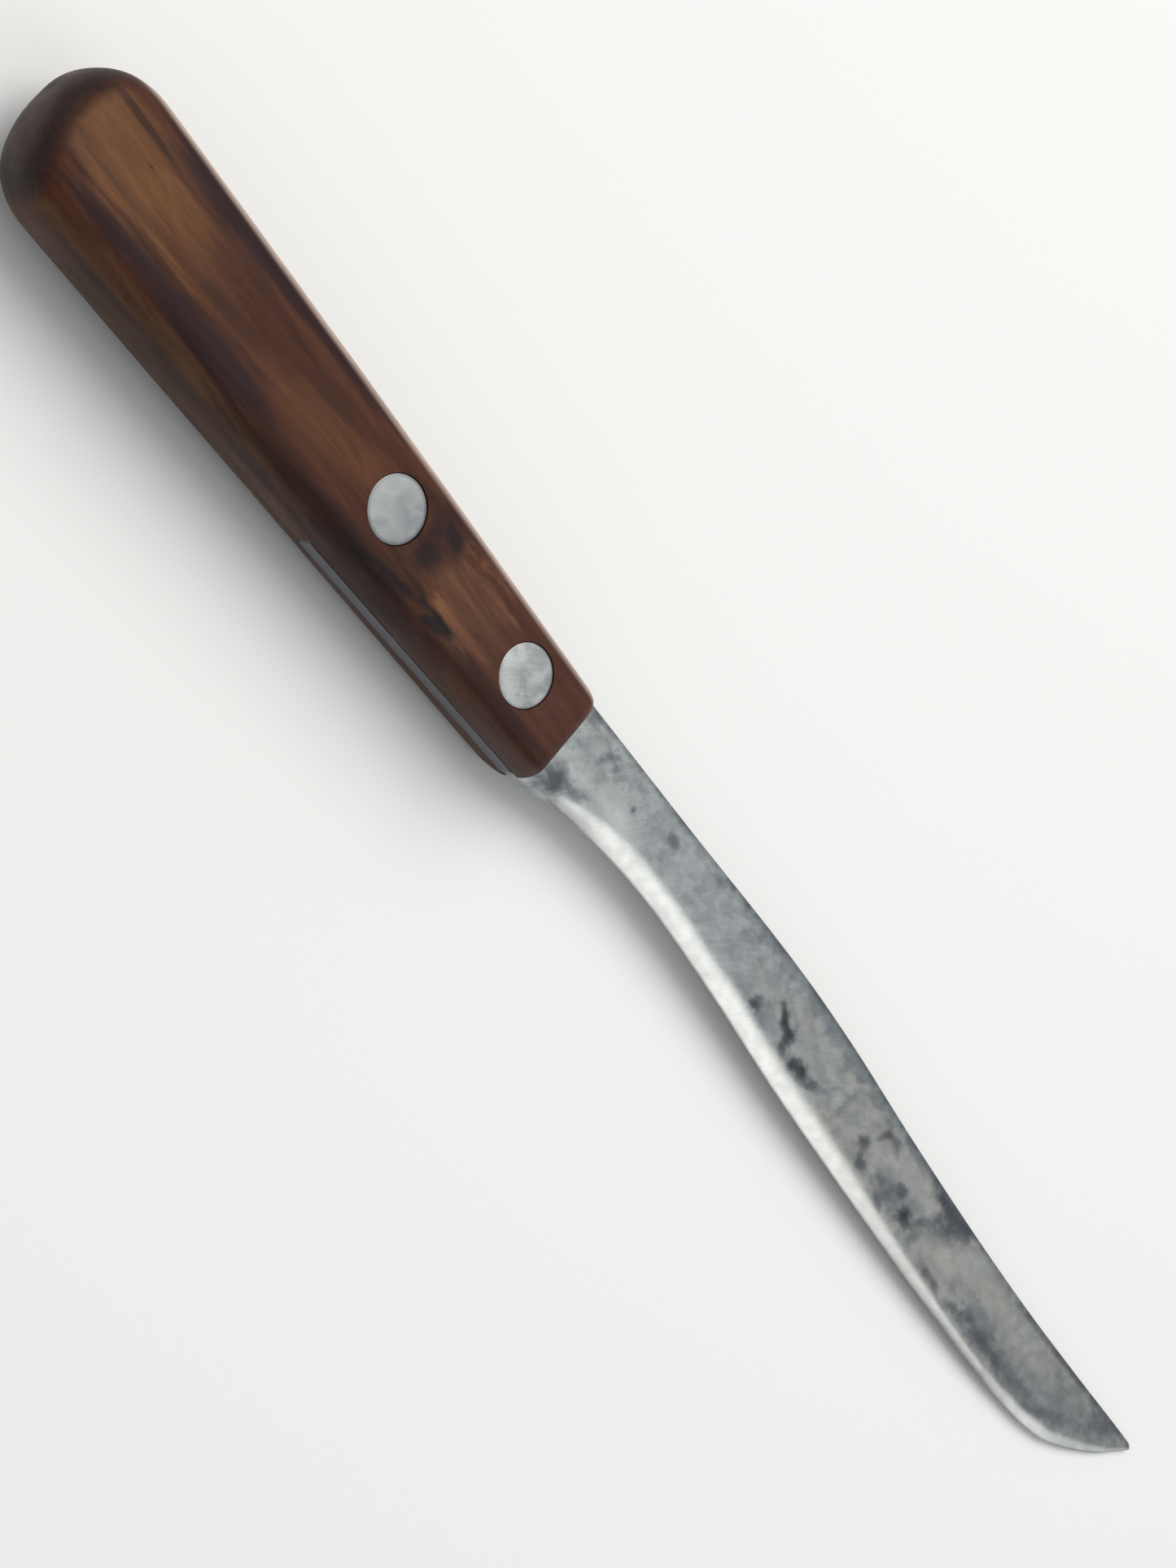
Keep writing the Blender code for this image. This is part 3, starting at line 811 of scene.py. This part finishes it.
def wood_butt(g, color, ragged):
    """Darker bands of painted shade that curve round the butt's rounding, and its end grain greyed."""
    off_middle = g.math("SUBTRACT", g.y, BUTT_MIDDLE_Y)
    curve = g.math("MULTIPLY", g.math("MULTIPLY", off_middle, off_middle), -0.033)
    from_butt = g.math("ADD", g.math("ADD", g.x, curve), g.math("MULTIPLY", ragged, 0.45))
    # The first two bands are painted shade on the butt's rounding; the last greys the end grain
    bands = [
        # where the band begins and is full, amount, colour
        (-57.0, -58.6, 0.80, BUTT_SHADE),
        (-58.2, -59.3, 0.70, BUTT_DARK),
        (-59.4, -60.5, 0.85, BUTT_GREY),
    ]
    for begin, full, amount, tint in bands:
        color = g.blend(g.ramp(from_butt, begin, full, 0.0, amount), color, tint)
    return color


def wood_material():
    """Oiled reddish-brown hardwood: long streaks, dark heartwood bands, a knot, pores and a worn gloss."""
    g = Graph("oiled_hardwood")
    broad, streaks, fibres, pores = wood_grain(g)
    ragged = g.swing(g.noise(g.stretch((0.07, 0.6, 0.5))), 2.6)
    smudged = g.swing(g.noise(g.stretch((0.28, 0.6, 0.6))), 2.6)
    color = g.blend(g.ramp(broad, 0.38, 0.62), g.blend(0.55, UMBER, BROWN), RUSSET)
    for tint, centre, radii, turn, edge_noise, softness, amount in wood_regions(ragged, smudged):
        share = g.math("MULTIPLY", g.patch(centre, radii, turn, edge_noise, softness), amount)
        color = g.blend(share, color, tint)
    color = wood_shade_and_highlight(g, color)
    color = wood_butt(g, color, ragged)
    tone = g.math("ADD", g.ramp(streaks, 0.30, 0.70, 0.81, 1.20), g.ramp(fibres, 0.3, 0.7, -0.06, 0.06))
    tone = g.math("MULTIPLY", tone, g.ramp(pores, 0.62, 0.72, 1.0, 0.82))
    g.link(g.shaded(color, tone), g.shader.inputs["Base Color"])
    wear = g.noise(g.stretch((0.10, 0.22, 0.22), shift=(8, 8, 8)), detail=3.0)
    gloss = g.math("ADD", g.ramp(wear, 0.3, 0.7, 0.42, 0.54), g.ramp(fibres, 0.3, 0.7, -0.03, 0.04))
    g.link(gloss, g.shader.inputs["Roughness"])
    g.shader.inputs["IOR"].default_value = 1.42
    g.shader.inputs["Specular IOR Level"].default_value = 0.22
    dents = g.noise(g.stretch((0.35, 0.45, 0.45)), detail=2.0)
    relief = g.bump(fibres, 0.10, 0.04)
    relief = g.bump(g.ramp(pores, 0.62, 0.72, 1.0, 0.0), 0.15, 0.03, relief)
    relief = g.bump(dents, 0.12, 0.10, relief)
    g.link(relief, g.shader.inputs["Normal"])
    return g.material


# Steel colours
GREY = (0.430, 0.460, 0.460)
DULL_GREY = (0.395, 0.425, 0.427)
LIGHT = (0.480, 0.508, 0.502)
WARM = (0.435, 0.432, 0.410)
BLUE = (0.235, 0.262, 0.285)
SLATE = (0.150, 0.161, 0.175)
STAIN = (0.070, 0.079, 0.090)
# Painted shade for the steel inside the handle's slot
SLOT_SHADE = (0.078, 0.080, 0.090)
BRIGHT = (0.650, 0.655, 0.632)
# Nearly white colour of the painted glint on the bevel near the point
GLINT_WHITE = (0.95, 0.96, 0.95)
SMEAR = (0.600, 0.630, 0.622)
PALE = (0.545, 0.548, 0.512)


def steel_patina(g, cloud):
    """Brushed grey, warmer over the far half, and lighter with dark specks near the handle."""
    brushed = g.noise(g.stretch((0.35, 1.6, 1.0), turn=-40.0, shift=(6, 2, 0)), detail=3.0)
    color = g.blend(g.ramp(brushed, 0.35, 0.65), GREY, DULL_GREY)
    far = g.ramp(g.x, 80.0, 98.0)
    color = g.blend(g.math("MULTIPLY", far, g.ramp(cloud, 0.36, 0.56, 0.25, 0.95)), color, WARM)
    near = g.ramp(g.x, 58.0, 44.0)
    patchy = g.noise(g.stretch((0.22, 0.34, 0.4), shift=(9, 4, 0)), detail=3.0, warp=0.5)
    color = g.blend(g.math("MULTIPLY", near, g.ramp(patchy, 0.40, 0.60, 0.0, 0.75)), color, LIGHT)
    specks = g.noise(g.stretch((0.75, 1.0, 1.0), turn=-35.0, shift=(1, 7, 0)), detail=2.0, rough=0.5)
    spots = g.math("MULTIPLY", g.ramp(specks, 0.52, 0.72), g.ramp(g.x, 68.0, 46.0, 0.05, 0.34))
    return g.blend(spots, color, SLATE)


def steel_marks():
    """The blade's stains and smudges from the handle to the point, then the paler clouds."""
    return [
        # colour, centre x and y, half length and width, turn, softness, amount
        (SLATE, 41.2, 6.1, 1.6, 1.2, 40.0, 0.8, 0.85),
        (SLATE, 46.6, 4.4, 1.6, 0.7, 50.0, 0.8, 0.75),
        (SLATE, 48.4, 4.1, 0.8, 0.4, 60.0, 0.8, 0.5),
        (SLATE, 47.6, 1.7, 0.9, 0.8, 20.0, 0.8, 0.6),
        (SMEAR, 43.3, -0.3, 2.8, 1.6, 10.0, 0.8, 0.70),
        (SMEAR, 52.8, 0.4, 4.6, 1.5, -8.0, 0.9, 0.85),
        (SLATE, 42.4, -3.2, 2.4, 1.7, 45.0, 0.9, 0.98),
        (SLATE, 45.6, -2.3, 2.6, 0.8, 20.0, 0.9, 0.80),
        (STAIN, 54.2, 2.6, 0.4, 0.5, 0.0, 0.7, 0.6),
        (STAIN, 61.6, 4.5, 0.9, 0.6, 0.0, 0.8, 0.55),
        (SLATE, 71.0, 6.3, 0.9, 0.5, 0.0, 0.8, 0.5),
        (SLATE, 79.7, 4.5, 0.9, 0.6, 0.0, 0.8, 0.35),
        (SLATE, 84.0, 4.2, 1.2, 0.5, 30.0, 0.8, 0.3),
        (BLUE, 100.0, 6.5, 24.0, 1.5, -2.5, 0.6, 0.70),
        (BLUE, 127.0, 4.9, 12.0, 1.0, -6.0, 0.5, 0.65),
        (BLUE, 90.0, -0.5, 4.5, 1.6, 0.0, 0.6, 0.55),
        (STAIN, 87.4, -0.2, 0.8, 1.1, -15.0, 0.85, 0.85),
        (STAIN, 92.7, 1.7, 1.8, 0.65, -32.0, 0.85, 0.95),
        (STAIN, 95.0, 0.2, 1.0, 1.5, 8.0, 0.85, 0.85),
        (STAIN, 99.6, -1.3, 2.9, 1.0, 5.0, 0.80, 0.98),
        (SLATE, 103.5, -0.9, 2.5, 0.5, 22.0, 0.8, 0.6),
        (SLATE, 106.2, 1.0, 1.8, 0.4, 45.0, 0.8, 0.45),
        (SLATE, 109.4, 1.5, 0.5, 3.0, -8.0, 0.8, 0.40),
        (STAIN, 115.6, 0.1, 1.2, 0.8, 15.0, 0.85, 0.80),
        (STAIN, 117.8, -2.3, 1.3, 0.7, 0.0, 0.9, 0.70),
        (SLATE, 116.6, -1.2, 0.5, 1.3, 20.0, 0.8, 0.5),
        (SLATE, 117.9, 2.5, 1.3, 0.50, 50.0, 0.9, 0.70),
        (STAIN, 119.6, 3.5, 1.4, 0.55, 0.0, 0.9, 0.65),
        (SLATE, 121.4, 2.8, 1.0, 0.45, -40.0, 0.9, 0.60),
        (SLATE, 124.6, -2.4, 3.2, 1.5, 0.0, 0.8, 0.85),
        (BLUE, 127.0, -1.2, 6.5, 2.2, 0.0, 0.8, 0.60),
        (SLATE, 126.4, 0.1, 1.6, 0.8, 10.0, 0.85, 0.85),
        (STAIN, 129.2, -2.3, 1.5, 1.1, 15.0, 0.75, 0.98),
        (SLATE, 132.4, -0.6, 2.8, 0.65, 40.0, 0.85, 0.85),
        (SLATE, 133.0, -2.4, 0.7, 1.4, -20.0, 0.8, 0.55),
        (SLATE, 136.0, 4.2, 5.4, 1.7, -3.0, 0.5, 0.80),
        (STAIN, 137.4, 3.6, 3.7, 2.0, -4.0, 0.6, 0.75),
        (SLATE, 136.6, 1.5, 3.0, 2.3, 20.0, 0.7, 0.88),
        (STAIN, 138.8, -4.6, 2.2, 0.6, 0.0, 0.9, 0.60),
        (SLATE, 143.5, -2.0, 1.0, 1.3, 0.0, 0.8, 0.35),
        (BLUE, 152.0, -3.0, 5.0, 1.7, 0.0, 0.6, 0.80),
        (SLATE, 158.5, -4.5, 11.5, 1.3, 1.0, 0.7, 0.92),
        (SLATE, 173.0, -3.4, 6.5, 0.9, 24.0, 0.8, 0.70),
        (BLUE, 173.0, -0.8, 12.0, 3.0, 8.0, 0.8, 0.55),
        (SLATE, 183.2, 2.4, 3.6, 1.9, 10.0, 0.8, 0.75),
        (SLATE, 168.5, 3.4, 14.0, 0.5, 0.0, 0.7, 0.60),
        (PALE, 121.5, 1.2, 3.2, 1.3, 20.0, 0.8, 0.55),
        (PALE, 130.0, 2.2, 3.2, 1.3, -25.0, 0.8, 0.65),
        (PALE, 140.0, -1.0, 5.0, 1.6, 8.0, 0.8, 0.75),
        (PALE, 147.0, 1.3, 5.5, 1.5, -5.0, 0.8, 0.65),
        (PALE, 160.0, 0.6, 8.0, 1.3, -4.0, 0.8, 0.60),
    ]


def steel_borders(g, color, ground, mottle):
    """What follows the blade's outline: painted dark reflection along the spine, the bright ground bevel
    with painted glint, and painted shade along the edge.
    """
    # Painted dark reflection along the rounded spine, patchy with the mottle
    spine_dark_reflection = g.math("MULTIPLY", g.mark("rim"), g.ramp(mottle, 0.3, 0.65, 0.85, 0.45))
    color = g.blend(spine_dark_reflection, color, SLATE)
    # The bevel's bright colour is partly the clean ground steel and partly painted reflection, dimmed beyond
    # the blade's middle
    clean_and_glint = g.math("MULTIPLY", ground, g.ramp(mottle, 0.3, 0.75, 1.0, 0.85))
    clean_and_glint = g.math("MULTIPLY", clean_and_glint, g.ramp(g.x, 106.0, 136.0, 1.0, 0.66))
    color = g.blend(clean_and_glint, color, BRIGHT)
    # Painted glint: the bevel near the point painted nearly white
    tip_glint = g.math("MULTIPLY", ground, g.ramp(g.x, 158.0, 174.0, 0.0, 0.75))
    color = g.blend(tip_glint, color, GLINT_WHITE)
    # Painted shade: a thin dark line along the cutting edge
    return g.blend(g.math("MULTIPLY", g.mark("edge"), 0.55), color, SLATE)


def steel_material():
    """Old carbon steel: grey patina, stains and spots, fine grinding lines, a bright ground bevel that is
    partly painted reflection, painted dark reflection along the spine, and painted shade in the handle's
    slot and along the edge.
    """
    g = Graph("patinated_steel")
    ground = g.mark("ground")
    cloud = g.noise(g.stretch((0.10, 0.22, 0.5)), detail=3.0, rough=0.5, warp=0.4)
    mottle = g.noise(g.stretch((0.45, 0.60, 0.6), shift=(3, 0, 0)))
    lines = g.noise(g.stretch((0.25, 7.0, 1.0), turn=-52.0), rough=0.7)
    scratches = g.noise(g.stretch((0.06, 11.0, 1.0), turn=-8.0, shift=(2, 4, 0)), detail=2.0, rough=0.8)
    ragged = g.swing(mottle, g.ramp(g.x, 135.0, 165.0, 2.4, 1.0))
    face_z, reach_z = MIDDLE + 1.0, 1.6
    color = steel_patina(g, cloud)
    for tint, x, y, length, width, turn, softness, amount in steel_marks():
        patch = g.patch((x, y, face_z), (length, width, reach_z), turn, ragged, softness)
        color = g.blend(g.math("MULTIPLY", patch, amount), color, tint)
    under = g.math("MULTIPLY", g.ramp(g.z, MIDDLE, MIDDLE - 0.5), g.ramp(cloud, 0.40, 0.62, 0.0, 0.7))
    color = g.blend(under, color, SLATE)
    # Painted shade on the steel inside the handle's slot, darkening from the handle's front face inwards
    color = g.blend(g.ramp(g.x, FRONT_X, FRONT_X - 1.5, 0.0, 0.88), color, SLOT_SHADE)
    color = steel_borders(g, color, ground, mottle)
    tone = g.math("MULTIPLY", g.ramp(lines, 0.25, 0.75, 0.93, 1.07), g.ramp(scratches, 0.3, 0.7, 0.97, 1.03))
    tone = g.math("MULTIPLY", tone, g.ramp(mottle, 0.25, 0.75, 0.93, 1.07))
    g.link(g.shaded(color, tone), g.shader.inputs["Base Color"])
    g.shader.inputs["Metallic"].default_value = 1.0
    rough = g.math("ADD", g.ramp(mottle, 0.3, 0.7, 0.33, 0.42), g.math("MULTIPLY", ground, -0.03))
    g.link(rough, g.shader.inputs["Roughness"])
    relief = g.bump(lines, 0.14, 0.02)
    relief = g.bump(scratches, 0.10, 0.015, relief)
    relief = g.bump(mottle, 0.06, 0.05, relief)
    g.link(relief, g.shader.inputs["Normal"])
    return g.material


# Rivet colours
RIVET_GREY = (0.335, 0.350, 0.358)
RIVET_LIGHT = (0.365, 0.379, 0.386)
# Colour of the painted highlight on the front rivet
RIVET_BRIGHT = (0.59, 0.60, 0.60)
# Dark colour of the painted shade and grime round the heads' rims
GRIME_AND_SHADE = (0.105, 0.105, 0.105)


def rivet_material():
    """Satin light grey rivet metal, dulled and lightly scratched, with painted shade and grime round each
    head's rim and a painted highlight making the front rivet brighter.
    """
    g = Graph("satin_rivet_metal")
    mottle = g.noise(g.stretch((0.40, 0.40, 0.40)), warp=0.4)
    lines = g.noise(g.stretch((0.5, 4.0, 1.0), turn=-38.0), detail=3.0, rough=0.6)
    color = g.blend(g.ramp(mottle, 0.3, 0.7), RIVET_GREY, RIVET_LIGHT)
    # Painted highlight: the front rivet made brighter in mottled streaks
    front = g.ramp(g.x, 12.0, 16.0)
    streaks = g.math("ADD", g.math("MULTIPLY", lines, 0.3), g.math("MULTIPLY", mottle, 0.7))
    front_highlight = g.math("MULTIPLY", front, g.ramp(streaks, 0.38, 0.62, 0.40, 0.85))
    color = g.blend(front_highlight, color, RIVET_BRIGHT)
    # Painted shade, with some grime, round each head's rim and the gap beside it
    at_front = g.math("GREATER_THAN", g.x, RIVET_SPACING / 2)
    across = g.math("SUBTRACT", g.x, g.math("MULTIPLY", at_front, RIVET_SPACING))
    from_axis = g.length(across, g.y)
    grime_and_shade = g.ramp(from_axis, FRONT_HEAD_RADIUS - 0.35, FRONT_HEAD_RADIUS + 0.15, 0.0, 0.65)
    color = g.blend(grime_and_shade, color, GRIME_AND_SHADE)
    g.link(g.shaded(color, g.ramp(lines, 0.25, 0.75, 0.96, 1.04)), g.shader.inputs["Base Color"])
    g.shader.inputs["Metallic"].default_value = 1.0
    g.link(g.ramp(mottle, 0.3, 0.7, 0.30, 0.38), g.shader.inputs["Roughness"])
    relief = g.bump(lines, 0.10, 0.015)
    relief = g.bump(mottle, 0.10, 0.06, relief)
    g.link(relief, g.shader.inputs["Normal"])
    return g.material


# ---------------------------------------------------------------- stage


def floor_height(x):
    """The table under the resting knife: it touches the handle's front edge and the point of the blade."""
    contact_x = FRONT_X - FRONT_EDGE_ROUND
    tip_low = MIDDLE - TIP_THICKNESS / 2
    return tip_low * (x - contact_x) / (TIP_X - contact_x)


def make_floor():
    """A wide pale table, as a grid that leans as the resting knife does."""
    bm = bmesh.new()
    places = [mix(-TABLE_REACH, TABLE_REACH, i / TABLE_STEPS) for i in range(TABLE_STEPS + 1)]
    grid = [[bm.verts.new((x, y, floor_height(x) - TABLE_GAP)) for y in places] for x in places]
    for near, far in zip(grid, grid[1:]):
        for j in range(TABLE_STEPS):
            bm.faces.new((near[j], far[j], far[j + 1], near[j + 1]))
    floor = to_object("floor", bm)
    material = bpy.data.materials.new("pale_table")
    material.use_nodes = True
    shader = material.node_tree.nodes["Principled BSDF"]
    shader.inputs["Base Color"].default_value = (0.85, 0.847, 0.836, 1.0)
    shader.inputs["Roughness"].default_value = 0.7
    shader.inputs["Specular IOR Level"].default_value = 0.2
    floor.data.materials.append(material)


def make_light():
    """A pale sky, a wide soft window and a small ceiling lamp, aimed just ahead of the knife's middle."""
    world = bpy.data.worlds.new("studio")
    bpy.context.scene.world = world
    world.use_nodes = True
    sky = world.node_tree.nodes["Background"]
    sky.inputs["Color"].default_value = (0.935, 0.972, 1.0, 1.0)
    sky.inputs["Strength"].default_value = 0.44
    lamps = [
        # name, direction, distance and width in metres, watts, colour
        ("window", (-0.22, 0.50, 0.84), 1.13, 1.2, 10.6, (1.0, 0.982, 0.95)),
        ("ceiling", (0.51, -0.12, 0.85), 1.2, 0.6, 1.4, (1.0, 0.99, 0.97)),
    ]
    target = Vector((0.02, 0.0, 0.0))
    for name, direction, distance, width, watts, color in lamps:
        data = bpy.data.lights.new(name, "AREA")
        data.shape = "DISK"
        data.size = width
        data.energy = watts
        data.color = color
        lamp = bpy.data.objects.new(name, data)
        bpy.context.scene.collection.objects.link(lamp)
        lamp.location = target + Vector(direction).normalized() * distance
        lamp.rotation_euler = (target - lamp.location).to_track_quat("-Z", "Y").to_euler()


def make_camera():
    """A long lens above and behind the butt, on the edge's side, with the knife running down the frame."""
    data = bpy.data.cameras.new("camera")
    data.sensor_fit = "AUTO"
    data.sensor_width = 36.0
    data.lens = 78.46
    data.clip_start = 0.01
    data.dof.use_dof = False
    camera = bpy.data.objects.new("camera", data)
    bpy.context.scene.collection.objects.link(camera)
    # The camera's own axes and its place, in the knife's frame
    right = Vector((0.52766, 0.59816, 0.60314))
    down = Vector((0.67834, -0.72409, 0.12467))
    view = Vector((0.51130, 0.34335, -0.78783))
    place = Vector((-164.56, -141.77, 332.87))
    rotation = Matrix((right, -down, -view)).transposed()
    camera.matrix_world = Matrix.Translation((place + ORIGIN) * MM) @ rotation.to_4x4()
    bpy.context.scene.camera = camera


def main():
    metal = rivet_material()
    pieces = [
        # piece, material, CAD node, material slot
        (make_handle(), wood_material(), "handle", "handle"),
        (make_blade(), steel_material(), "blade", "blade"),
    ]
    for label, x, radius in RIVETS:
        pin_half, tube_half = make_rivet(label, x, radius)
        pieces.append((pin_half, metal, "rivet_" + label + "_male", "rivet"))
        pieces.append((tube_half, metal, "rivet_" + label + "_female", "rivet"))
    for piece, material, node, slot in pieces:
        piece.data.materials.clear()
        piece.data.materials.append(material)
        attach(piece, "root")
        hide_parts(node)
    make_floor()
    make_light()
    make_camera()
    bpy.context.scene.view_settings.view_transform = "Standard"


main()
